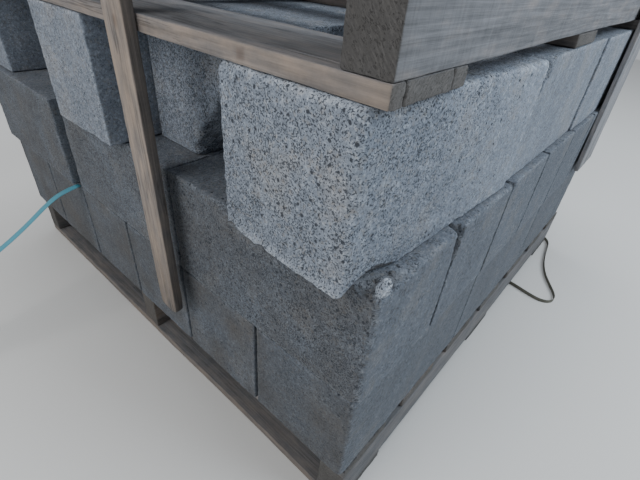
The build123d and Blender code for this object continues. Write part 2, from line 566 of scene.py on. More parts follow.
@dataclass(frozen=True)
class OpenConcrete:
    """Pressed lightweight concrete: cool grey grains with open pores between them.

    The pattern attribute is the place in the block, the finish attribute holds
    how open the face is, its tone, which carries painted light and shade, and the
    wear of its arris, and the cast attribute the brown stain, the chalky bloom
    with a painted highlight on the upper arris, and how coarse the grain is.
    """

    dark: Colour = (0.070, 0.082, 0.101)
    middle: Colour = (0.188, 0.220, 0.270)
    pale: Colour = (0.392, 0.440, 0.508)
    sand: Colour = (0.272, 0.254, 0.232)
    stain: Colour = (0.115, 0.092, 0.064)
    # Pale colour of the chalky bloom, and of the painted highlight on the upper arris
    chalk_and_highlight: Colour = (0.430, 0.470, 0.520)
    pore: Colour = (0.018, 0.023, 0.033)
    roughness: float = 0.93
    relief: float = 0.0015

    def pores(self, graph: Graph, place: Link, openness: Value) -> Value:
        """Return where the pores are: ragged ones where fine noise is low, and a few round, deeper ones.

        Args:
            graph: The material's graph.
            place: Where the pattern is read.
            openness: How open the face is, from 0 to 1.

        Returns:
            From 0 on the face to 1 in a pore.
        """
        speck = graph.noise(place, 480, 2.0, 0.55)
        gather = graph.noise(graph.attribute("pattern"), 48, 2.0, 0.5)
        small = (speck - openness * 0.135 - (gather - 0.5) * 0.20).step(0.315, 0.262)
        hole, pick, size = graph.cells(place, 112)
        deep = (hole - size * 0.12).step(0.18, 0.08) * (pick - openness * 0.32).step(0.02, 0.00)
        return (small * 0.88).at_least(deep * openness.step(0.3, 0.6))

    def material(self) -> bpy.types.Material:
        """Return the concrete's material."""
        graph = Graph("open_concrete")
        place = graph.attribute("pattern")
        openness, tone, wear = graph.parts(graph.attribute("finish"))
        stain, chalk_and_highlight, coarse = graph.parts(graph.attribute("cast"))
        pushed = graph.bent(place, 300, 0.0012)
        sand = graph.noise(place, 900, 2.0, 0.6)
        mottle = graph.noise(place, 430, 3.0, 0.65)
        patch = graph.noise(place, 130, 3.0, 0.6)
        clouds = graph.noise(place, 14, 4.0, 0.6)
        smear = graph.noise(graph.stretched(place, (46.0, 46.0, 4.0)), 1.0, 3.0, 0.55)
        _, grain, warm = graph.cells(pushed, 290)
        stone, stone_tone, _ = graph.cells(pushed, 120)
        pores = self.pores(graph, pushed, openness)
        body = graph.layered((grain, 0.32), (sand, 0.30), (mottle, 0.90), (patch, 0.62), (clouds, 0.36),
                             (smear, (1 - openness) * 0.50), (stone_tone, coarse * 0.4)) + wear * 0.12
        colour = graph.mix(body.step(0.0, 0.52), self.dark, self.middle)
        colour = graph.mix(body.step(0.48, 1.00), colour, self.pale)
        colour = graph.mix(warm.step(0.74, 0.95) * 0.30 + clouds.step(0.50, 0.66) * 0.26, colour, self.sand)
        colour = graph.mix((stain * (0.55 + mottle * 0.9)).at_most(1.0), colour, self.stain)
        colour = graph.shaded(colour, tone)
        # Chalky bloom on the lower rim, and a painted highlight on the upper arris
        bloom_and_highlight = chalk_and_highlight * (mottle * 1.2 + patch * 1.0 - 0.5)
        colour = graph.mix(bloom_and_highlight.at_least(0.0).at_most(0.55), colour, self.chalk_and_highlight)
        colour = graph.mix(pores * 0.90, colour, self.pore)
        height = graph.layered((sand, 0.20), (mottle, 0.55), (patch, 0.25))
        return graph.finish(colour, self.roughness, height - stone * coarse * 0.5 - pores * 0.75, self.relief)


@dataclass(frozen=True)
class WeatheredWood:
    """Rough-sawn softwood that has greyed outdoors.

    The pattern attribute runs along the board, across it and through it, from
    the log's pith. The finish attribute holds how near the sawn end is, the
    board's tone, which on some boards carries painted shade, and the dirt on it,
    and the cast attribute how warm its colour is, how strong its saw marks are,
    and its stains and knots.
    """

    grey: Colour = (0.222, 0.231, 0.252)
    tan: Colour = (0.318, 0.258, 0.212)
    end_grain: Colour = (0.150, 0.143, 0.138)
    stain: Colour = (0.085, 0.040, 0.020)
    dirt: Colour = (0.070, 0.064, 0.055)
    dark: Colour = (0.018, 0.014, 0.011)
    ring_spacing: float = 0.0042
    roughness: float = 0.88
    relief: float = 0.0011

    def material(self) -> bpy.types.Material:
        """Return the wood's material."""
        graph = Graph("weathered_wood")
        place = graph.attribute("pattern")
        end, tone, soil = graph.parts(graph.attribute("finish"))
        warmth, sawn, stain = graph.parts(graph.attribute("cast"))
        along, across, through = graph.parts(place)
        sway = graph.drawn_out(place, 2.2, 24.0, roughness=0.5)
        radius = (across * across + through * through).root()
        phase = (radius + (sway - 0.5) * 0.020) * (2 * math.pi / self.ring_spacing)
        rings = (phase.sine() * 0.5 + 0.5) ** 1.6
        fibre = graph.drawn_out(place, 16.0, 700.0)
        streak = graph.drawn_out(place, 4.5, 110.0, 4.0, 0.62)
        weather = graph.drawn_out(place, 5.0, 26.0, 4.0)
        blotch = graph.drawn_out(place, 22.0, 60.0)
        saw = graph.drawn_out(place, 260.0, 9.0, 2.0)
        fissure = graph.drawn_out(place, 4.0, 120.0, roughness=0.62)
        mottle = graph.noise(place, 230, 3.0, 0.65)
        grime = graph.noise(place, 15, 4.0, 0.65)
        split = ((fissure - 0.5) * (fissure - 0.5)).step(0.0009, 0.0001) * weather.step(0.49, 0.40)
        split = split * (0.8 - sawn).at_least(0.0) * (1 - end)
        slant = ((across + through * 0.8) * 110.0, (across * 0.8 - through) * 420.0, along * 20.0)
        crack = graph.noise(graph.combined(*slant), 1.0, 3.0, 0.6)
        check = ((crack - 0.5) * (crack - 0.5)).step(0.0008, 0.0001) * mottle.step(0.46, 0.60) * end
        lines = split.at_least(check * 0.7)
        pale = graph.layered((fibre, 0.60), (streak, 1.10), (rings, 0.13), (blotch, 0.80), (saw, sawn * 0.42),
                             (weather, 0.45), (mottle, 0.25))
        warm = warmth + (weather - 0.5) * 0.9 + (blotch - 0.5) * 1.1
        colour = graph.mix(warm.at_most(1.0).at_least(0.0), self.grey, self.tan)
        colour = graph.shaded(colour, pale * 1.05 + 0.48)
        sawn_end = graph.shaded(self.end_grain, 0.50 + mottle * 0.9 + rings * 0.16 + (crack - 0.5) * 1.5)
        colour = graph.mix(end * 0.85, colour, sawn_end)
        colour = graph.mix((soil * 1.5 * grime).at_most(1.0), colour, self.dirt)
        colour = graph.mix(stain * (0.5 + streak), colour, self.stain)
        colour = graph.mix(lines * 0.8, colour, self.dark)
        colour = graph.shaded(colour, tone)
        height = graph.layered((rings, 0.10), (fibre, 0.60), (streak, 0.45), (saw, sawn * 0.5),
                               (mottle, end * 0.5))
        return graph.finish(colour, self.roughness, height - lines * 0.8, self.relief)


@dataclass(frozen=True)
class StrapPlastic:
    """Thin extruded strapping with a pressed diamond face.

    The pattern attribute runs along the strap and across it, and the finish
    attribute's first part is the share of dust.
    """

    name: str
    colour: Colour
    dust: Colour
    roughness: float
    diamond: float = 0.0022
    relief: float = 0.0002

    def material(self) -> bpy.types.Material:
        """Return the strapping's material."""
        graph = Graph(self.name)
        place = graph.attribute("pattern")
        dusty, _, _ = graph.parts(graph.attribute("finish"))
        along, across, _ = graph.parts(place)
        waves = 2 * math.pi / self.diamond
        pressed = ((along + across) * waves).sine() * ((along - across) * waves).sine()
        scuff = graph.drawn_out(place, 30.0, 500.0)
        cloud = graph.noise(place, 40, 3.0)
        colour = graph.shaded(self.colour, 0.8 + scuff * 0.4)
        colour = graph.mix((dusty * cloud * 1.2).at_most(1.0), colour, self.dust)
        rough = self.roughness + (scuff - 0.5) * 0.3 + dusty * 0.3
        return graph.finish(colour, rough, graph.layered((scuff, 0.3)) + pressed * 0.3, self.relief)


@dataclass(frozen=True)
class NailSteel:
    """Plain wire nails, dulled and rusting at the rim."""

    steel: Colour = (0.20, 0.19, 0.18)
    rust: Colour = (0.16, 0.065, 0.03)
    metallic: float = 0.6
    relief: float = 0.0003

    def material(self) -> bpy.types.Material:
        """Return the nail heads' material."""
        graph = Graph("nail_steel")
        patch = graph.noise(graph.attribute("pattern"), 260, 3.0, 0.6)
        colour = graph.mix(patch.step(0.42, 0.6), self.steel, self.rust)
        graph.feed(graph.shader, "Metallic", self.metallic)
        return graph.finish(colour, 0.55 + patch * 0.3, patch, self.relief)


# Blocks

# Lattice lines near each end of a side, on blocks that show and on those inside the load
SEEN_RIM = (0.0, 0.0013, 0.003, 0.0055, 0.009)
HIDDEN_RIM = (0.0, 0.003)


class Detail(Enum):
    """Lattice spacing of a block, in metres, by how near it is seen."""

    CORNER = 0.0030
    NEAR = 0.0060
    AROUND = 0.0150
    INSIDE = 0.0400


@dataclass(frozen=True)
class Face:
    """How one face of a block looks: how open its pores are, its tone and its stain."""

    openness: float
    tone: float
    stain: float = 0.0


@dataclass(frozen=True)
class Look:
    """The faces of a block that show: its left one, its right one and all others."""

    left: Face
    right: Face
    rest: Face = Face(0.70, 0.92)


@dataclass(frozen=True)
class Chip:
    """A piece broken out of a block.

    Attributes:
        place: Its middle in the block's own frame, in metres.
        reach: How far it reaches along each axis, in metres.
        power: 1 gives flat broken faces, and 2 a round hollow.
    """

    place: Place
    reach: Place
    power: float = 1.5

    def gone(self, points: Array) -> Array:
        """Positive where the chip is gone: one less the sum of the powers of distance over reach."""
        away = np.abs(points - np.array(self.place)) / np.array(self.reach)
        rough = 0.22 * rough_noise(points, 0.011, CHIP_SEED)
        rough = rough + 0.08 * soft_noise(points, 0.0035, CHIP_SEED + 6)
        return 1 + rough - (away ** self.power).sum(axis=1)


@dataclass(frozen=True)
class Worn:
    """A stretch of arris that is worn round.

    Attributes:
        low: Lowest corner of the box that it lies in, in the block's frame, in metres.
        high: Its highest corner.
        radius: Radius of the arris there, in metres.
        run_out: How far past the box the wear fades out, in metres.
    """

    low: Place
    high: Place
    radius: float
    run_out: float = 0.012

    def raised(self, points: Array) -> Array:
        """Return the radius wanted at each point, which fades out past the box."""
        outside = np.maximum(np.array(self.low) - points, 0) + np.maximum(points - np.array(self.high), 0)
        return self.radius * np.clip(1 - np.linalg.norm(outside, axis=1) / self.run_out, 0, 1)


@dataclass
class Block:
    """One solid block, pressed and a little worn.

    Attributes:
        corner: Its lowest corner in metres, (3,).
        size: Its length, width and height in metres, (3,).
        cell: Spacing of its lattice in metres.
        seed: Its own number.
        look: How its faces look.
        turn: Turn about its corner, in degrees.
        gone: What is broken off, in the block's own frame, with the middle that sees it.
        chips: Pieces broken out of it.
        worn: Stretches of worn arris.
        fade: How much less open the right face is at its far end, and how strong its painted light and shade
            are, lighter towards the right face's far end and darker towards the foot.
        rim: How far the left face's lower rim stands out, in metres.
        rim_height: Over what height that rim fades out, in metres.
        rim_end: Over what length it fades out at the block's far end, in metres.
        fresh: Stain of its broken faces.
        arris: Rounding of its arrises in metres.
        edge_reach: How far from an arris a face still looks worn, in metres.
        crumbled: Radius from which an arris counts as crumbled, in metres.
    """

    corner: Array
    size: Array
    cell: float
    seed: int
    look: Look
    turn: float = 0.0
    gone: tuple[Gone, Array] | None = None
    chips: tuple[Chip, ...] = ()
    worn: tuple[Worn, ...] = ()
    fade: float = 0.0
    rim: float = 0.0
    rim_height: float = 0.010
    rim_end: float = 0.045
    fresh: float = 0.10
    arris: float = 0.0030
    edge_reach: float = 0.007
    crumbled: float = 0.006

    def rounding(self, points: Array, own: Array) -> Array:
        """Return the arris's radius near each point: its own, wandering, or as chips and wear make it."""
        chips = np.clip(rough_noise(own, 0.030, self.seed + 11) - 0.34, 0, 1) * 0.016
        radius = self.arris * (1 + 0.45 * rough_noise(own, 0.009, self.seed)) + chips
        for worn in self.worn:
            wander = 1 + 0.4 * rough_noise(own, 0.012, self.seed + 3)
            radius = np.maximum(radius, worn.raised(points) * wander)
        return radius

    def push(self, own: Array, edge: Array) -> Array:
        """Return how far out each point is pushed, by a slow warp and by grain, strongest at an arris."""
        grain = soft_noise(own, 0.0052, self.seed + 21) * 0.40
        grain = grain + soft_noise(own, 0.0027, self.seed + 22) * 0.35
        warp = soft_noise(own, 0.11, self.seed + 23) * 0.5
        return (grain * (0.5 + edge) + warp) * 0.001 - 0.0006

    def skin(self) -> Skin:
        """Return the block's skin.

        The lattice box gets arrises whose rounding wanders between sharp and
        worn, is pushed in and out by grain of a few millimetres and by a slow
        warp, and is drawn back where something is broken off.
        """
        hidden = self.cell >= Detail.INSIDE.value
        rim = HIDDEN_RIM if hidden else SEEN_RIM
        points, faces = box_skin(*(spaced(side, self.cell, rim) for side in self.size))
        own = points + self.seed * np.array([1.7, 2.3, 3.1])
        radius = self.rounding(points, own)
        moved, out = round_arrises(points, self.size, np.clip(radius, 0.0012, 0.02))
        edge = np.exp(-(arris_distance(points, self.size) / self.edge_reach) ** 2)
        openness, tone, stain = self.faces(out, points)
        if not hidden:
            moved = moved + out * self.push(own, edge)[:, None]
        lower = np.exp(-(points[:, 2] / self.rim_height) ** 2) * np.clip(-out[:, 0], 0, 1)
        lower = lower * np.clip((self.size[1] - points[:, 1]) / self.rim_end, 0, 1)
        moved[:, 0] -= self.rim * lower
        broken = np.zeros(len(points), dtype=bool)
        breaks = [(chip.gone, self.size / 2) for chip in self.chips]
        for gone, middle in breaks + ([self.gone] if self.gone else []):
            moved, drawn = draw_back(moved, middle, gone)
            broken |= drawn
        chalk_and_highlight = np.zeros(len(points))
        if self.rim:
            # Chalky bloom on the lower rim, with a painted highlight along the upper arris
            chalk_and_highlight = self.bloom_and_highlight(own, out, lower)
            openness = openness * (1 - 0.15 * lower)
        crumbled = np.clip(radius / self.crumbled - 1, 0, 1)
        openness = np.maximum(openness, 0.9 * crumbled)
        finish = np.stack([np.where(broken, 0.85, openness), tone, np.where(broken, 0.0, edge)], -1)
        cast = np.stack([np.where(broken, np.maximum(stain, self.fresh), stain),
                         np.where(broken, 0.0, np.clip(chalk_and_highlight, 0, 1)),
                         np.where(broken, 1.0, 0.12 + 0.5 * crumbled)], -1)
        return Skin(self.placed(moved), faces, moved + own - points, finish, cast)

    def bloom_and_highlight(self, own: Array, out: Array, lower: Array) -> Array:
        """Return the chalky bloom on the left face's lower rim, and a painted highlight along its upper
        arris.

        Args:
            own: Places in the block's own noise, (n, 3).
            out: Outward directions, (n, 3).
            lower: Share of the lower rim, (n,).

        Returns:
            Shares from about 0 to 1, (n,).
        """
        # Painted highlight: the upper arris's rounding is paled where it looks up and to the left
        upper = out[:, 2] * -out[:, 0] * (out[:, 2] > 0) * (out[:, 0] < 0)
        return np.clip(0.5 * lower + 1.5 * upper, 0, 1) * (0.7 + 0.5 * soft_noise(own, 0.02, 8))

    def faces(self, out: Array, points: Array) -> tuple[Array, Array, Array]:
        """Blend the faces' looks by the direction that each point looks in.

        The shares are the squares of the direction's parts, and each face gets
        slow patches of its own. The fade adds painted light towards the right face's
        far end and painted shade towards the foot.

        Args:
            out: Outward directions in the block's own frame, (n, 3).
            points: Places on the block, (n, 3).

        Returns:
            How open it is, its tone and its stain, each (n,).
        """
        left = out[:, 0] ** 2 * (out[:, 0] < 0)
        right = out[:, 1] ** 2 * (out[:, 1] < 0)
        sides = ((left, self.look.left), (right, self.look.right), (1 - left - right, self.look.rest))
        openness = sum(share * face.openness for share, face in sides)
        tone = sum(share * face.tone for share, face in sides)
        stain = sum(share * face.stain for share, face in sides)
        own = points + self.seed * np.array([3.1, 1.3, 0.7])
        chance = lattice_hash(np.array([self.seed, 5, 9]), TONE_DRAW)
        along = np.clip(points[:, 0] / self.size[0], 0, 1)
        low = 1 - points[:, 2] / self.size[2]
        far = self.fade * right * np.clip(along * 1.5 - 0.5, 0, 1)
        openness = np.clip(openness + 0.16 * soft_noise(own, 0.07, 5) - far, 0.05, 1)
        tone = tone * (0.95 + 0.10 * chance) * (1 + 0.05 * soft_noise(own, 0.09, 6))
        # Painted light and shade: the right face lighter towards its far end, and the block darker towards
        # its foot
        tone = tone * (1 + self.fade * (0.35 * right * (along - 0.4) - 0.25 * low))
        return openness, tone, np.clip(stain * (1 + soft_noise(own, 0.05, 7)), 0, 1)

    def placed(self, points: Array) -> Array:
        """Return points of the block's own frame turned and set at its corner."""
        angle = math.radians(self.turn)
        cosine, sine = math.cos(angle), math.sin(angle)
        turned = points.copy()
        turned[:, 0] = points[:, 0] * cosine - points[:, 1] * sine
        turned[:, 1] = points[:, 0] * sine + points[:, 1] * cosine
        return turned + self.corner


@dataclass(frozen=True)
class Crumb:
    """A bit of broken concrete.

    Attributes:
        place: Its middle from the load's near corner, in metres.
        reach: Its half sizes in metres.
        tone: What its colour is multiplied by.
        stain: Share of the brown stain.
        chalk_and_highlight: Share of the pale chalk colour, which on the blocks also paints a highlight.
        lines: Lattice lines along each side of it.
        openness: How open its pores are.
        wear: How worn it looks.
    """

    place: Place
    reach: Place
    tone: float
    stain: float
    chalk_and_highlight: float = 0.0
    lines: int = 9
    openness: float = 0.95
    wear: float = 0.3

    def skin(self, seed: int) -> Skin:
        """Return the crumb's closed skin: a ball, stretched to its half sizes and roughened."""
        ball, faces = ball_skin(self.lines)
        rough = 0.42 * rough_noise(ball + seed * 3.7, 0.8, seed) + 0.10 * soft_noise(ball + seed, 0.17, seed)
        made = ball * (1 + rough)[:, None] * np.array(self.reach)
        finish = np.tile([self.openness, self.tone, self.wear], (len(ball), 1))
        cast = np.tile([self.stain, self.chalk_and_highlight, 1.0], (len(ball), 1))
        return Skin(made + np.array(self.place) + NEAR_CORNER, faces, made + seed, finish, cast)


@dataclass
class BlockStack:
    """The three courses of blocks.

    Attributes:
        block: Length, width and height of a block in metres.
        corner_turn: Turn of the top course's corner block, in degrees.
        spall_size: Width on the bed and height on the side of the corner block's spall, in metres.
        spall_shares: Distances along that block, each with the spall's share of both.
        break_size: The same two of the hollow break in the pushed-in block.
        break_shares: The same distances and shares of that break.
        looks: How the blocks of each course look; the lower courses' darker tones, and left faces darker than
            right ones, are painted shade.
        corner_look: How the corner block and the pushed-in block look.
        near_rows: Nodes whose first block is seen from near by.
        chips: Chips of single blocks, by node and number.
        worn: Worn arrises of single blocks, by node and number.
        crumbs: Bits of concrete on the second course's ledge.
    """

    block: Place = (0.390, 0.190, 0.190)
    corner_turn: float = -2.9
    spall_size: tuple[float, float] = (0.013, 0.017)
    spall_shares: tuple[tuple[float, float], ...] = (
        (0.0, 0.2), (0.012, 0.55), (0.030, 0.9), (0.054, 1.0), (0.077, 0.5), (0.10, 0.0))
    break_size: tuple[float, float] = (0.086, 0.120)
    break_shares: tuple[tuple[float, float], ...] = ((0.0, 1.0), (0.230, 0.3), (0.330, 0.0))
    # Painted shade in the tones: the lower courses darker towards the ground, and left faces a little darker
    # than right ones
    looks: dict[str, Look] = field(default_factory=lambda: {
        "1": Look(Face(0.55, 0.43, 0.26), Face(0.35, 0.50, 0.06), Face(0.60, 0.60, 0.10)),
        "2": Look(Face(0.95, 0.50, 0.18), Face(0.45, 0.55), Face(0.70, 0.66, 0.06)),
        "3": Look(Face(0.66, 0.92), Face(0.24, 1.00), Face(0.70, 0.88))})
    corner_look: Look = Look(Face(1.00, 1.04), Face(0.98, 1.06), Face(0.90, 1.10))
    near_rows: tuple[str, ...] = (
        "course_1_row_1", "course_1_row_2", "course_1_row_3", "course_1_row_4",
        "course_2_row_2", "course_2_row_3", "course_3_row_1", "course_3_row_3")
    chips: dict[tuple[str, int], tuple[Chip, ...]] = field(default_factory=lambda: {
        ("course_2_row_1", 0): (
            Chip((0.004, 0.020, 0.191), (0.022, 0.013, 0.012), 2.0),
            Chip((0.036, 0.006, 0.193), (0.018, 0.010, 0.009)),
            Chip((0.070, 0.002, 0.193), (0.026, 0.010, 0.008)),
            Chip((0.115, 0.0, 0.191), (0.020, 0.006, 0.005)),
            Chip((0.190, 0.0, 0.190), (0.008, 0.020, 0.060))),
        ("course_2_row_2", 0): (Chip((0.0, 0.0, 0.190), (0.012, 0.020, 0.070), 1.2),),
        ("course_2_row_3", 0): (Chip((0.0, 0.0, 0.190), (0.008, 0.012, 0.022), 1.2),),
        ("course_3_row_1", 0): (Chip((0.0, 0.0, 0.190), (0.040, 0.030, 0.060), 1.1),)})
    worn: dict[tuple[str, int], tuple[Worn, ...]] = field(default_factory=lambda: {
        ("course_2_row_1", 0): (
            Worn((0.0, 0.0, 0.0), (0.004, 0.004, 0.190), 0.011),
            Worn((0.010, 0.0, 0.186), (0.075, 0.004, 0.190), 0.014),
            Worn((0.075, 0.0, 0.186), (0.190, 0.004, 0.190), 0.0075)),
        ("course_2_row_2", 0): (Worn((0.0, 0.0, 0.186), (0.190, 0.004, 0.190), 0.006),),
        ("course_1_row_1", 0): (Worn((0.0, 0.0, 0.0), (0.004, 0.004, 0.190), 0.008),)})
    crumbs: tuple[Crumb, ...] = (
        Crumb((0.0140, 0.0035, 0.5065), (0.0090, 0.0072, 0.0125), 1.15, 0.0, 0.45, 23),
        Crumb((0.0290, 0.0150, 0.5020), (0.0060, 0.0050, 0.0040), 0.70, 0.25),
        Crumb((0.0460, 0.0130, 0.5025), (0.0050, 0.0042, 0.0034), 0.62, 0.35),
        Crumb((0.0640, 0.0140, 0.5035), (0.0036, 0.0030, 0.0026), 0.80, 0.10))

    def solids(self, node: str) -> list[tuple[Array, Array]]:
        """Lowest and highest corners of the blocks in one row's node.

        Along its row each block has vertices at four places, its two ends and
        the far sides of their chamfers, so every four places are one block.

        Args:
            node: Name of the row's node.

        Returns:
            A pair of corners for each block, from the row's low end.
        """
        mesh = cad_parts[node].data
        places = np.empty(len(mesh.vertices) * 3)
        mesh.vertices.foreach_get("co", places)
        places = places.reshape(-1, 3)
        low, high = places.min(axis=0), places.max(axis=0)
        along = np.round(places[:, int(np.argmax(high - low))], 4)
        boxes = []
        for ends in np.unique(along).reshape(-1, 4):
            own = places[(along >= ends[0]) & (along <= ends[3])]
            boxes.append((own.min(axis=0), own.max(axis=0)))
        return boxes

    def detail(self, node: str, number: int, count: int) -> Detail:
        """How finely one block of a row is made.

        Args:
            node: Name of the row's node.
            number: The block's number in the row.
            count: How many blocks the row has.

        Returns:
            The lattice spacing's name.
        """
        if node == "course_2_row_1":
            return Detail.NEAR if number else Detail.CORNER
        if number == 0 and node in self.near_rows:
            return Detail.NEAR
        inner = node[:-1] in ("course_1_row_", "course_2_row_") and node[-1] in "2345"
        return Detail.INSIDE if inner and 0 < number < count - 1 else Detail.AROUND

    def split_off(self, size: tuple[float, float], shares: tuple[tuple[float, float], ...], seed: int,
                  middle: Place) -> tuple[Gone, Array]:
        """What is gone from a block's lower near edge, in the block's own frame.

        Square to the edge it is what lies under a hollow curve from the width
        on the bed to the height on the side: the place over the width and the
        height, each raised to 1.3, add up to less than one. Both shrink with
        the shares along the block, and noise roughens the break.

        Args:
            size: Widest reach on the bed face and highest on the side face, in metres.
            shares: Distances along the block, each with its share of both.
            seed: Which of the noise fields roughens it.
            middle: A place in the block that sees all of the break.

        Returns:
            The function that is positive where the block is gone, and the middle.
        """
        along, share = np.array(shares).T

        def gone(points: Array) -> Array:
            """Positive under the hollow curve."""
            left = np.maximum(np.interp(points[:, 0], along, share), 1e-3)
            reach = np.maximum(points[:, 1:], 0) / (np.array(size) * left[:, None])
            rough = 0.16 * rough_noise(points, 0.014, seed) + 0.07 * soft_noise(points, 0.004, seed + 9)
            return 1 + rough - (reach ** 1.3).sum(axis=1)

        return gone, np.array(middle)

    def build(self, material: bpy.types.Material) -> None:
        """Make a piece for every node of blocks.

        Args:
            material: The concrete.
        """
        seed = 1
        for node in sorted(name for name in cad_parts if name.startswith("course_")):
            boxes = self.solids(node)
            skins = []
            for number, (low, high) in enumerate(boxes):
                seed += 1
                detail = self.detail(node, number, len(boxes))
                own = (node, number)
                skins.append(Block(low, high - low, detail.value, seed, self.looks[node[7]],
                                   chips=self.chips.get(own, ()), worn=self.worn.get(own, ())).skin())
            if node == "course_2_row_1":
                skins += [crumb.skin(CRUMB_SEED + index) for index, crumb in enumerate(self.crumbs)]
            self.set_piece(joined(skins), node, material)
        self.build_corner_block(material)
        self.build_pushed_in_block(material)

    def build_corner_block(self, material: bpy.types.Material) -> None:
        """Make the turned corner block with its spall, soft near arris, lower rim, and painted light and
        shade.
        """
        low, high = (np.array(corner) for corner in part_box("corner_block"))
        width = self.block[1] * math.cos(math.radians(self.corner_turn))
        corner = np.array([low[0], high[1] - width, low[2]])
        spall = self.split_off(self.spall_size, self.spall_shares, SPALL_SEED, (0.15, 0.10, 0.10))
        worn = (Worn((0.0, 0.0, 0.022), (0.004, 0.004, 0.190), 0.009),
                Worn((0.0, 0.0, 0.186), (0.390, 0.190, 0.190), 0.0075))
        lone = Block(corner, np.array(self.block), Detail.CORNER.value, CORNER_BLOCK_SEED, self.corner_look,
                     self.corner_turn, spall, worn=worn, fade=0.55, rim=0.0050, fresh=0.5)
        self.set_piece(lone.skin(), "corner_block", material)

    def build_pushed_in_block(self, material: bpy.types.Material) -> None:
        """Make the block that was pushed in, with the hollow break in its end."""
        low, high = (np.array(corner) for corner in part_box("pushed_in_block"))
        gone = self.split_off(self.break_size, self.break_shares, BREAK_SEED, (0.20, 0.14, 0.14))
        lone = Block(low, high - low, Detail.NEAR.value, PUSHED_BLOCK_SEED, self.corner_look, gone=gone)
        self.set_piece(lone.skin(), "pushed_in_block", material)

    def set_piece(self, skin: Skin, node: str, material: bpy.types.Material) -> None:
        """Make a skin the piece that stands for a node of blocks."""
        made = skin.piece(f"{node}_stone", material)
        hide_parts(node)
        report(made)


# Timber

# Spacing of a board's lattice along, across and through it, seen from near by and not
FINE_WOOD = (0.008, 0.006, 0.005)
PLAIN_WOOD = (0.030, 0.014, 0.012)
# Lattice lines near each end of a side, across a crack in its widths, and over a spot in its reaches
WOOD_RIM = (0.0, 0.0008, 0.0022, 0.005)
CRACK_LINES = np.array([-3, -1.5, -0.5, 0, 0.5, 1.5, 3])
SPOT_LINES = np.array([-1.3, -0.9, -0.5, 0, 0.5, 0.9, 1.3])
# Least distance between lattice lines, and of a spot's lines from a board's ends
LINE_GAP = 0.0008
END_GAP = 0.004


@dataclass(frozen=True)
class Spot:
    """A knot or stain: its place from the board's low corner, its reach, and how dark it is."""

    place: Place
    reach: Place
    share: float = 0.8

    def stain(self, points: Array) -> Array:
        """Return how stained each point is: even over the middle and soft at the rim."""
        away = (points - np.array(self.place)) / np.array(self.reach)
        rough = 1 + 0.35 * rough_noise(points, 0.012, SPOT_SEED)
        return self.share * np.exp(-((away ** 2).sum(axis=1) * rough) ** 2)


@dataclass(frozen=True)
class WoodLook:
    """How one board looks.

    Attributes:
        tone: What its colour is multiplied by.
        warmth: How warm its wide faces are, from 0 grey to 1 tan.
        edge_warmth: How warm its narrow sides are.
        edge_tone: What the tone of its narrow sides is multiplied by; below 1 this is painted shade.
        saw: How strong its saw marks are.
        soil: Share of dirt all over it.
        end_tone: What the tone of its sawn ends is multiplied by; below 1 this is painted shade.
        foot_tone: What the tone of its low end is multiplied by; below 1 this is painted shade.
        spots: Knots and stains on it.
    """

    tone: float = 0.85
    warmth: float = 0.25
    edge_warmth: float = 0.35
    edge_tone: float = 1.0
    saw: float = 0.3
    soil: float = 0.15
    end_tone: float = 1.0
    foot_tone: float = 1.0
    spots: tuple[Spot, ...] = ()


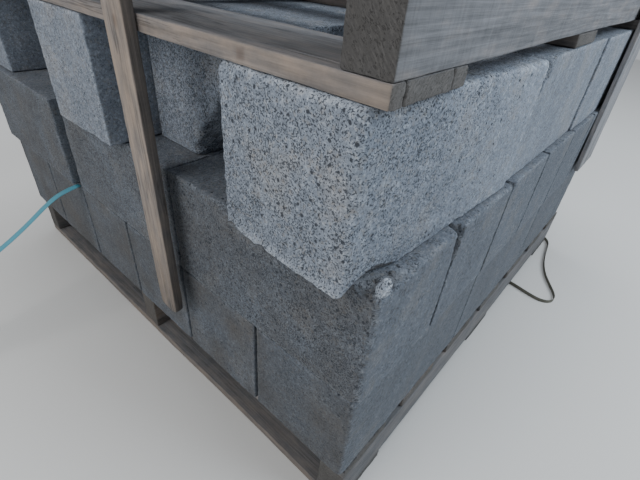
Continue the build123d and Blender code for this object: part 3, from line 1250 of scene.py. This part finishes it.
@dataclass
class Board:
    """One sawn board, bearer or slat.

    Attributes:
        low: Its box's lowest corner in metres, (3,).
        high: Its box's highest corner in metres, (3,).
        seed: Its own number.
        look: How it looks.
        fine: Whether it is seen from near by.
        cracks: Places across the board where its low end is split, and how wide.
        lean: How far it leans towards +Y, in degrees.
        thickness: Its thickness in metres, where it leans.
        frayed: How far its low end is worn away at its corners, in metres.
        warp: Farthest bow of its faces in metres.
        arris: Rounding of its arrises in metres.
        foot: How much of its low end is frayed, in metres.
        shade: How far up from its low end the painted shade of its foot reaches, in metres.
        dirty: Dirt that its ends have above the rest, and how far in that fades, in metres.
        split: How far the cracks run in from its end, in metres.
        opened: How far a crack is drawn in from the end, and from both faces, in metres.
    """

    low: Array
    high: Array
    seed: int
    look: WoodLook
    fine: bool = False
    cracks: tuple[tuple[float, float], ...] = ()
    lean: float = 0.0
    thickness: float = 0.0
    frayed: float = 0.0
    warp: float = 0.0012
    arris: float = 0.0014
    foot: float = 0.030
    shade: float = 0.15
    dirty: tuple[float, float] = (0.30, 0.03)
    split: float = 0.16
    opened: tuple[float, float] = (0.016, 0.004)

    def size(self) -> Array:
        """Return its own size, which a leaning board's box is larger than."""
        size = self.high - self.low
        if self.lean:
            angle = math.radians(self.lean)
            size = np.array([size[0], self.thickness,
                             (size[2] - self.thickness * math.sin(angle)) / math.cos(angle)])
        return size

    def axes(self) -> tuple[int, int, int]:
        """Return the axes along the board, across it and through it."""
        order = np.argsort(self.size())
        return int(order[2]), int(order[1]), int(order[0])

    def lattice(self) -> tuple[Array, Array]:
        """Return the board's lattice skin from 0 to its size, with lines at its cracks and spots."""
        size = self.size()
        along, across, through = self.axes()
        places: list[Array] = [np.zeros(0)] * 3
        cells = FINE_WOOD if self.fine else PLAIN_WOOD
        for axis, cell, rim in zip((along, across, through), cells, (WOOD_RIM, WOOD_RIM, WOOD_RIM[:3])):
            places[axis] = spaced(size[axis], cell, rim)
        for place, width in self.cracks:
            places[across] = self.lined(places[across], place + width * CRACK_LINES)
        for spot in self.look.spots:
            for axis in (along, across):
                lines = spot.place[axis] + spot.reach[axis] * SPOT_LINES
                inside = (lines > END_GAP) & (lines < size[axis] - END_GAP)
                places[axis] = self.lined(places[axis], lines[inside])
        return box_skin(*places)

    def lined(self, places: Array, lines: Array) -> Array:
        """Return rising places with some lines put in, and what lay too near to them taken out."""
        near = np.abs(places[:, None] - lines[None, :]).min(axis=1, initial=1.0) < LINE_GAP
        near[[0, -1]] = False
        return np.sort(np.concatenate([places[~near], lines]))

    def skin(self) -> Skin:
        """Return the board's skin.

        The lattice box gets small wandering arrises, a slow bow along its
        length, fibres that stand out along it, and ends that are sawn rough.
        """
        size = self.size()
        along, across, through = self.axes()
        lengthwise = np.arange(3) == along
        points, faces = self.lattice()
        own = points + self.seed * np.array([0.93, 1.37, 2.11])
        foot = np.clip(1 - points[:, along] / self.foot, 0, 1)
        radius = self.arris * (1.3 + 1.0 * rough_noise(own, 0.02, self.seed)) + self.frayed * foot * 0.5
        moved, out = round_arrises(points, size, np.clip(radius, 0.0004, size.min() * 0.45))
        fibre = soft_noise(own * np.where(lengthwise, 0.06, 1), 0.0035, self.seed + 5) * 0.00035
        sawn = np.abs(out[:, along]) * soft_noise(own, 0.004, self.seed + 7) * 0.0009
        moved = moved + out * (fibre + sawn - 0.0004)[:, None]
        moved[:, across] += soft_noise(own * lengthwise, 0.25, self.seed + 6) * self.warp
        corner = np.abs(points[:, across] / size[across] * 2 - 1) ** 3
        ragged = 0.5 + 0.5 * rough_noise(own * ~lengthwise, 0.009, self.seed + 8)
        moved[:, along] += self.frayed * foot * (0.45 * ragged + corner)
        for place, width in self.cracks:
            self.crack(moved, points, out, place, width)
        pith = self.pith()
        pattern = np.stack([own[:, along], points[:, across] - pith[0], points[:, through] - pith[1]], -1)
        return Skin(self.placed(moved), faces, pattern, *self.shares(points, out))

    def crack(self, moved: Array, points: Array, out: Array, place: float, width: float) -> None:
        """Split the low end, in place.

        The crack wanders with the depth, and its middle line is drawn in from
        the end and out of both faces.

        Args:
            moved: The board's points, which are changed, (n, 3).
            points: Where they lie on the lattice box, (n, 3).
            out: Outward directions, (n, 3).
            place: Where across the board it is.
            width: How wide it is.
        """
        along, across, through = self.axes()
        depth = np.stack([points[:, along] * 0.5, points[:, through], np.full(len(points), place)], -1)
        beside = points[:, across] - place
        wander = rough_noise(depth, 0.008, self.seed + 9) * 0.0022
        moved[:, across] += wander * np.exp(-(beside / (5 * width)) ** 2)
        on_line = np.exp(-(beside / (0.35 * width)) ** 2)
        from_end = np.clip(1 - points[:, along] / self.split, 0, 1)
        moved[:, along] += on_line * (points[:, along] < 0.001) * self.opened[0]
        moved[:, through] -= on_line * from_end * out[:, through] * self.opened[1]

    def shares(self, points: Array, out: Array) -> tuple[Array, Array]:
        """Return what the wood's finish reads of a board.

        Args:
            points: Places on the board, (n, 3).
            out: Outward directions, (n, 3).

        Returns:
            The finish and the cast, both (n, 3).
        """
        along, across, _ = self.axes()
        side = out[:, across] ** 2
        to_end = np.minimum(points[:, along], self.size()[along] - points[:, along])
        foot = np.exp(-(points[:, along] / self.shade) ** 2)
        look = self.look
        end = np.clip(np.abs(out[:, along]) * 1.6 - 0.4, 0, 1)
        # Painted shade where the edge, foot or end tone is below 1
        tone = look.tone * (1 + (look.edge_tone - 1) * side) * (1 + (look.foot_tone - 1) * foot)
        tone = tone * (1 + (look.end_tone - 1) * end)
        soil = np.clip(look.soil + self.dirty[0] * np.exp(-to_end / self.dirty[1]), 0, 1)
        warmth = look.warmth + (look.edge_warmth - look.warmth) * side
        stain = np.zeros(len(points))
        for spot in look.spots:
            stain = np.maximum(stain, spot.stain(points))
        return np.stack([end, tone, soil], -1), np.stack([warmth, np.full(len(points), look.saw), stain], -1)

    def placed(self, points: Array) -> Array:
        """Return points of the board's own frame set at its corner, turned about X by its lean."""
        angle = math.radians(self.lean)
        cosine, sine = math.cos(angle), math.sin(angle)
        turned = points.copy()
        turned[:, 1] = points[:, 1] * cosine + points[:, 2] * sine
        turned[:, 2] = (self.thickness - points[:, 1]) * sine + points[:, 2] * cosine
        return turned + self.low

    def pith(self) -> tuple[float, float]:
        """Return where the log's pith lay, across and through, from the board's corner."""
        chance = lattice_hash(np.array([[self.seed, 1, 2], [self.seed, 7, 8]]), PITH_DRAW)
        return float(0.02 + chance[0] * 0.09), float(-0.03 - chance[1] * 0.07)


@dataclass
class Timber:
    """The two pallets with their nails, and the two slats.

    Attributes:
        near: Nodes that are seen from near by.
        looks: How the named nodes look.
        board_cracks: Splits in the end of the upper pallet's first bottom board.
        slat_lean: How far the right slat leans, in degrees.
        slat_thickness: Its thickness in metres.
        slat_frayed: How far the left slat's foot is worn away, in metres.
        nail_radius: Radius of a nail's head in metres.
        nail_flat: Height of a nail's head over its width.
        nail_sunk: How deep the middle of a head lies in the board, in metres.
        nail_places: Where across each board its nails are, as shares of its width.
        nail_strays: How far a nail may be off along and across the board, as shares of the crossing.
    """

    near: tuple[str, ...] = (
        "upper_pallet_bearer_near", "upper_pallet_bottom_board_1", "upper_pallet_bottom_board_2",
        "upper_pallet_deck_board_1", "lower_pallet_bottom_board_1", "lower_pallet_deck_board_1",
        "lower_pallet_bearer_near", "lower_pallet_bearer_middle", "left_slat", "right_slat")
    # Painted shade: the left slat's darker narrow sides and foot, the upper bearer's darker sawn end, and the
    # lower pallet's darker tones
    looks: dict[str, WoodLook] = field(default_factory=lambda: {
        "upper_pallet_bearer_near": WoodLook(0.76, 0.02, 0.06, saw=0.9, soil=0.05, end_tone=0.62),
        "upper_pallet_bottom_board_1": WoodLook(
            0.74, 0.12, 0.66, saw=0.25, soil=0.10, end_tone=1.05,
            spots=(Spot((0.0, 0.165, 0.010), (0.010, 0.007, 0.005), 0.45),)),
        "upper_pallet_bottom_board_2": WoodLook(0.75, 0.20, 0.50),
        "left_slat": WoodLook(
            0.80, 0.85, 0.60, edge_tone=0.55, saw=0.2, soil=0.08, foot_tone=0.62,
            spots=(Spot((0.016, 0.020, 0.462), (0.02, 0.005, 0.009), 0.7),)),
        "right_slat": WoodLook(1.00, 0.02, 0.20, saw=0.3, soil=0.05),
        "lower_pallet_bottom_board_1": WoodLook(0.58, 0.20, 0.70, saw=0.2, soil=0.2),
        "lower_pallet_bearer_middle": WoodLook(0.60, 0.80, 0.70),
        "lower_pallet_bearer_near": WoodLook(0.62, 0.10, 0.10, saw=0.5, soil=0.3)})
    board_cracks: tuple[tuple[float, float], ...] = ((0.020, 0.0015), (0.098, 0.0013))
    slat_lean: float = 1.5
    slat_thickness: float = 0.012
    slat_frayed: float = 0.006
    nail_radius: float = 0.0042
    nail_flat: float = 0.34
    nail_sunk: float = 0.0006
    nail_places: tuple[float, float] = (0.27, 0.73)
    nail_strays: tuple[float, float] = (0.12, 0.5)

    def look(self, node: str, number: int) -> WoodLook:
        """Return the look of a node, or one of its own by its number."""
        cells = np.array([[number, 3, 4], [number, 5, 6], [number, 7, 8]])
        tone, warmth, saw = lattice_hash(cells, LOOK_DRAW).tolist()
        # The lower pallet's lower base tone is painted shade
        base, soil = (0.52, 0.35) if node.startswith("lower") else (0.66, 0.15)
        plain = WoodLook(base + 0.20 * tone, 0.05 + 0.5 * warmth, 0.15 + 0.5 * warmth,
                         saw=0.1 + 0.7 * saw, soil=soil)
        return self.looks.get(node, plain)

    def build(self, material: bpy.types.Material, steel: bpy.types.Material) -> None:
        """Make a piece for every node of wood, and the nails.

        Args:
            material: The wood.
            steel: The nails' finish.
        """
        nodes = sorted(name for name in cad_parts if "pallet" in name or "slat" in name)
        for number, node in enumerate(nodes):
            low, high = (np.array(corner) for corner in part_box(node))
            board = Board(low, high, BOARD_SEED + number, self.look(node, number), node in self.near)
            if node == "upper_pallet_bottom_board_1":
                board.cracks = self.board_cracks
            elif node == "right_slat":
                board.lean, board.thickness = self.slat_lean, self.slat_thickness
            elif node == "left_slat":
                board.frayed = self.slat_frayed
            made = board.skin().piece(f"{node}_wood", material)
            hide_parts(node)
            report(made)
        self.build_nails(steel)

    def build_nails(self, steel: bpy.types.Material) -> None:
        """Make two nail heads where each board of the upper deck crosses a bearer.

        Each is a ball pressed flat and sunk by about half.

        Args:
            steel: Their finish.
        """
        ball, faces = ball_skin(4)
        share = np.zeros(ball.shape)
        heads = []
        names = sorted(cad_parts)
        boards = [name for name in names if name.startswith("upper_pallet_deck_board")]
        bearers = [name for name in names if name.startswith("upper_pallet_bearer")]
        for board, bearer, along in product(boards, bearers, self.nail_places):
            (low, high), (under, over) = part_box(board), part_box(bearer)
            cells = np.array([[len(heads), 1, 1], [len(heads), 2, 2]])
            across, inward = self.nail_strays * (lattice_hash(cells, NAIL_DRAW) - 0.5)
            start, end = np.maximum(low, under), np.minimum(high, over)
            place = start + (end - start) * np.array([along + across, 0.5 + inward, 0.0])
            place[2] = high[2] - self.nail_sunk
            made = ball * self.nail_radius * np.array([1.0, 1.0, self.nail_flat]) + place
            heads.append(Skin(made, faces, made, share, share))
        made = joined(heads).piece("upper_deck_nail_heads", steel)
        report(made)


# Strapping

@dataclass
class Ribbon:
    """Flat strapping along a smooth route.

    Attributes:
        name: Name of the piece.
        node: The CAD node that it stands for.
        route: Points of the route in metres.
        width: Width of the strap in metres.
        thickness: Its thickness in metres.
        across: Direction of its width, (3,).
        dust: Most and least share of dust on it.
        dusty: Over what height the dust grows less, in metres.
    """

    name: str
    node: str
    route: list[Place]
    width: float
    thickness: float
    across: Place
    dust: tuple[float, float] = (0.85, 0.12)
    dusty: float = 0.12

    def path(self) -> Array:
        """Return points along the route's smooth spline, with its own ends."""
        curve = bpy.data.curves.new(f"{self.name}_route", "CURVE")
        curve.dimensions = "3D"
        spline = curve.splines.new("NURBS")
        spline.points.add(len(self.route) - 1)
        for point, place in zip(spline.points, self.route):
            point.co = (*place, 1.0)
        spline.order_u = 3
        spline.use_endpoint_u = True
        curve.resolution_u = 8
        holder = bpy.data.objects.new(f"{self.name}_route", curve)
        mesh = bpy.data.meshes.new_from_object(holder)
        points = np.empty(len(mesh.vertices) * 3)
        mesh.vertices.foreach_get("co", points)
        bpy.data.objects.remove(holder)
        bpy.data.curves.remove(curve)
        bpy.data.meshes.remove(mesh)
        return points.reshape(-1, 3)

    def build(self, material: bpy.types.Material, slot: Slot, **facts: Any) -> None:
        """A flat section of ten points, with its corners cut, is carried along
        the path: its width lies along the fixed direction and its thickness
        square to that and to the path. Both ends are closed.

        Args:
            material: Its finish.
            slot: A material slot, which is not used.
        """
        path = self.path()
        ahead = np.gradient(path, axis=0)
        ahead /= np.linalg.norm(ahead, axis=1, keepdims=True)
        across = np.array(self.across)
        up = np.cross(ahead, across)
        up /= np.linalg.norm(up, axis=1, keepdims=True)
        wide, thick = self.width / 2, self.thickness / 2
        cut = thick * 0.6
        half = [(-wide, -cut), (-wide + cut, -thick), (0, -thick), (wide - cut, -thick), (wide, -cut)]
        section = np.array(half + [(-place, -height) for place, height in half])
        count = len(section)
        ring = path[:, None] + section[None, :, :1] * across + section[None, :, 1:] * up[:, None]
        ring = ring.reshape(-1, 3)
        row = np.arange(len(path) - 1)[:, None] * count
        step = np.arange(count)[None, :]
        after = (step + 1) % count
        faces = np.stack([row + step, row + after, row + count + after, row + count + step], -1)
        faces = faces.reshape(-1, 4)
        caps = np.array([(0, 9, 8, 1), (1, 8, 7, 2), (2, 7, 6, 3), (3, 6, 5, 4)])
        faces = np.concatenate([faces, caps, caps[:, ::-1] + (len(path) - 1) * count])
        length = np.concatenate([[0], np.cumsum(np.linalg.norm(np.diff(path, axis=0), axis=1))])
        pattern = np.stack([np.repeat(length, count), np.tile(section[:, 0], len(path)),
                            np.tile(section[:, 1], len(path))], -1)
        dust = np.clip(self.dust[0] - ring[:, 2] / self.dusty, self.dust[1], self.dust[0])
        finish = np.stack([dust, np.zeros(len(ring)), np.zeros(len(ring))], -1)
        made = Skin(ring, faces, pattern, finish, finish * 0).piece(self.name, material)
        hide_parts(self.node)
        report(made)


@dataclass
class Strapping:
    """The loose blue strap and the slack loop of dark band.

    The routes are the CAD file's, in metres: the strap's as distance out from
    the left side and height, the band's as distances from the load's near corner.
    """

    blue: StrapPlastic = StrapPlastic("blue_strap_plastic", (0.035, 0.235, 0.32), (0.30, 0.31, 0.31), 0.38)
    olive: StrapPlastic = StrapPlastic("olive_band_plastic", (0.045, 0.052, 0.03), (0.20, 0.19, 0.165), 0.55)
    strap_along: float = 0.793
    strap_width: float = 0.016
    strap_thickness: float = 0.001
    band_height: float = 0.011
    band_thickness: float = 0.001
    strap_route: tuple[tuple[float, float], ...] = (
        (-0.002, 0.314), (0.038, 0.309), (0.075, 0.290), (0.110, 0.266), (0.147, 0.243), (0.186, 0.222),
        (0.226, 0.201), (0.264, 0.176), (0.300, 0.148), (0.332, 0.116), (0.363, 0.082), (0.398, 0.051),
        (0.440, 0.027), (0.488, 0.012), (0.537, 0.004), (0.584, 0.001))
    band_route: tuple[tuple[float, float], ...] = (
        (0.861, 0.060), (0.859, 0.018), (0.853, -0.022), (0.844, -0.060), (0.841, -0.094), (0.852, -0.115),
        (0.874, -0.125), (0.900, -0.118), (0.936, -0.095), (0.976, -0.070), (1.020, -0.052), (1.066, -0.040),
        (1.110, -0.032), (1.150, -0.026), (1.184, -0.019), (1.212, 0.002), (1.228, 0.038))

    def build(self) -> None:
        """Make both straps with their finishes."""
        x, y, _ = NEAR_CORNER.tolist()
        route = [(x - out, y + self.strap_along, height) for out, height in self.strap_route]
        strap = Ribbon("loose_blue_strap", "loose_strap", route, self.strap_width, self.strap_thickness,
                       (0.0, 1.0, 0.0))
        strap.build(self.blue.material(), Slot.STRAP, far_end="bare", stiffness="medium", lay="loose")
        route = [(x + along, y + inward, self.band_height / 2) for along, inward in self.band_route]
        band = Ribbon("slack_dark_band", "floor_band_loop", route, self.band_height, self.band_thickness,
                      (0.0, 0.0, 1.0))
        band.build(self.olive.material(), Slot.BAND, far_end="object", stiffness="medium", lay="loose")


# Camera and studio

@dataclass(frozen=True)
class PhotoCamera:
    """The photograph's camera, fitted to the arrises of the blocks."""

    place: Place = (-0.8777, -0.7254, 0.7834)
    yaw: float = 51.66
    pitch: float = -35.14
    roll: float = -5.34
    focal_px: float = 404.1
    image_width_px: float = 640.0
    sensor_mm: float = 36.0
    nearest: float = 0.01
    farthest: float = 50.0

    def build(self) -> None:
        """Make the camera and give it to the scene.

        It looks along the yaw, from +Y towards +X, and the pitch, and its
        sideways direction is turned by the roll about that.
        """
        yaw, pitch, roll = (math.radians(angle) for angle in (self.yaw, self.pitch, self.roll))
        forward = Vector((math.sin(yaw) * math.cos(pitch), math.cos(yaw) * math.cos(pitch), math.sin(pitch)))
        level = Vector((math.cos(yaw), -math.sin(yaw), 0.0))
        down = forward.cross(level)
        right = level * math.cos(roll) + down * math.sin(roll)
        up = level * math.sin(roll) - down * math.cos(roll)
        data = bpy.data.cameras.new("photo_camera")
        data.sensor_width = self.sensor_mm
        data.lens = self.sensor_mm * self.focal_px / self.image_width_px
        data.clip_start = self.nearest
        data.clip_end = self.farthest
        camera = bpy.data.objects.new("photo_camera", data)
        bpy.context.collection.objects.link(camera)
        turned = Matrix((right, up, -forward)).transposed().to_4x4()
        camera.matrix_world = Matrix.Translation(self.place) @ turned
        bpy.context.scene.camera = camera


@dataclass(frozen=True)
class Lamp:
    """A square lamp: its place and its side in metres, its power in watts and its colour."""

    name: str
    place: Place
    side: float
    power: float
    tint: Colour

    def build(self, aim: Place) -> None:
        """Hang the lamp so that it looks at a place."""
        data = bpy.data.lights.new(self.name, "AREA")
        data.size, data.energy, data.color = self.side, self.power, self.tint
        lamp = bpy.data.objects.new(self.name, data)
        bpy.context.collection.objects.link(lamp)
        turned = (Vector(aim) - Vector(self.place)).to_track_quat("-Z", "Y").to_matrix()
        lamp.matrix_world = Matrix.Translation(self.place) @ turned.to_4x4()


@dataclass(frozen=True)
class Studio:
    """A plain pale floor and soft light."""

    floor_half: float = 6.0
    floor_colour: Colour = (0.56, 0.56, 0.55)
    floor_roughness: float = 0.9
    sky_colour: Colour = (0.90, 0.94, 1.0)
    sky_strength: float = 0.50
    aim: Place = (0.0, 0.0, 0.4)
    lamps: tuple[Lamp, ...] = (
        Lamp("key_lamp", (1.2, -3.0, 3.2), 2.4, 140, (0.83, 0.92, 1.0)),
        Lamp("fill_lamp", (-3.4, 0.2, 2.4), 2.2, 75, (1.0, 0.97, 0.93)),
        Lamp("top_lamp", (0.0, 0.3, 4.0), 2.4, 90, (0.94, 0.97, 1.0)))

    def build(self) -> None:
        """Make the floor, the sky's even light and the large lamps."""
        mesh = bpy.data.meshes.new("studio_floor")
        half = self.floor_half
        corners = [(-half, -half, 0), (half, -half, 0), (half, half, 0), (-half, half, 0)]
        mesh.from_pydata(corners, [], [(0, 1, 2, 3)])
        floor = bpy.data.objects.new("studio_floor", mesh)
        bpy.context.collection.objects.link(floor)
        graph = Graph("studio_floor")
        graph.feed(graph.shader, "Base Color", self.floor_colour + (1.0,))
        graph.feed(graph.shader, "Roughness", self.floor_roughness)
        mesh.materials.append(graph.material)
        world = bpy.data.worlds.new("studio_sky")
        bpy.context.scene.world = world
        world.use_nodes = True
        sky = world.node_tree.nodes["Background"]
        graph.feed(sky, "Color", self.sky_colour + (1.0,))
        graph.feed(sky, "Strength", self.sky_strength)
        for lamp in self.lamps:
            lamp.build(self.aim)


def main() -> None:
    """Build every sub-assembly in order and log its pieces."""
    logging.basicConfig(level=logging.INFO, format="%(message)s")
    PhotoCamera().build()
    Studio().build()
    Strapping().build()
    BlockStack().build(OpenConcrete().material())
    Timber().build(WeatheredWood().material(), NailSteel().material())


if __name__ == "__main__":
    main()
